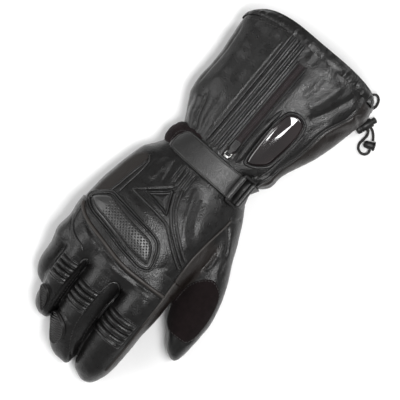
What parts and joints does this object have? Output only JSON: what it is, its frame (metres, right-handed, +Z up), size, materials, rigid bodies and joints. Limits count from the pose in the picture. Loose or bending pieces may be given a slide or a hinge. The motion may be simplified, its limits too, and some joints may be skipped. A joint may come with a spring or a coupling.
{
  "type": "heated gauntlet glove",
  "caption": "Right-hand leather gauntlet glove with padded knuckles, ribbed fingers, wrist strap, zipped cuff with a glossy window, and a drawcord hem.",
  "frame": {"origin": "on the table under the middle of the glove's box, its draw cord and cord fittings apart", "axes": "+Z up from the table, +Y towards the fingertips, +X towards the little finger"},
  "size_m": [0.1726, 0.362, 0.0655],
  "materials": {
    "leather": "grained black leather",
    "smooth_leather": "smooth brown-black leather",
    "panel": "matt woven stretch panel",
    "suede": "brushed suede",
    "strap": "smooth grained strap leather",
    "pile": "looped pile",
    "slider": "fine ribbed moulded pad",
    "plastic": "satin black plastic",
    "zip": "woven tape and nylon coil",
    "metal": "bright zip slider",
    "gloss": "high-gloss black window",
    "cord": "braided elastic cord"
  },
  "bodies": {
    "glove": {"palm_shell": "leather", "thumb": "leather", "index_finger": "leather", "middle_finger": "leather", "ring_finger": "leather", "little_finger": "leather", "knuckle_pad": "leather", "knuckle_pad_rim": "leather", "knuckle_welt": "smooth_leather", "back_ridge_1": "leather", "back_ridge_2": "leather", "back_ridge_3": "leather", "back_triangle": "leather", "edge_piping": "smooth_leather", "side_panel": "panel", "thumb_patch": "suede", "index_ribs": "leather", "middle_ribs": "leather", "ring_ribs": "leather", "middle_slider": "slider", "ring_slider": "slider", "gauntlet": "leather", "hem_binding": "leather", "cuff_ridge_1": "leather", "cuff_ridge_2": "leather", "cuff_ridge_3": "leather", "cuff_ridge_4": "leather", "zip_tape": "zip", "zip_chain": "zip", "window": "gloss", "window_frame": "leather", "zip_slider": "metal", "strap_base": "pile", "wrist_strap": "strap", "strap_ring": "plastic", "strap_anchor": "strap", "cord_lock": "plastic", "cord_end": "plastic", "drawcord_outer": "cord", "drawcord_inner": "cord"},
    "zip_pull": {"zip_pull": "plastic"},
    "cord_lock_button": {"cord_lock_button": "plastic"}
  },
  "joints": [
    {"name": "zip_pull_hinge", "type": "hinge", "parent": "glove", "child": "zip_pull", "pos_m": [0.00568, -0.05237, 0.05097], "axis": [-1, 0, 0], "range_deg": [0, 140]},
    {"name": "cord_lock_press", "type": "slide", "parent": "glove", "child": "cord_lock_button", "axis": [0.361, 0.9326, 0], "range_m": [0, 0.0025], "stiffness_N_per_m": 1500, "springref_m": -0.001}
  ]
}
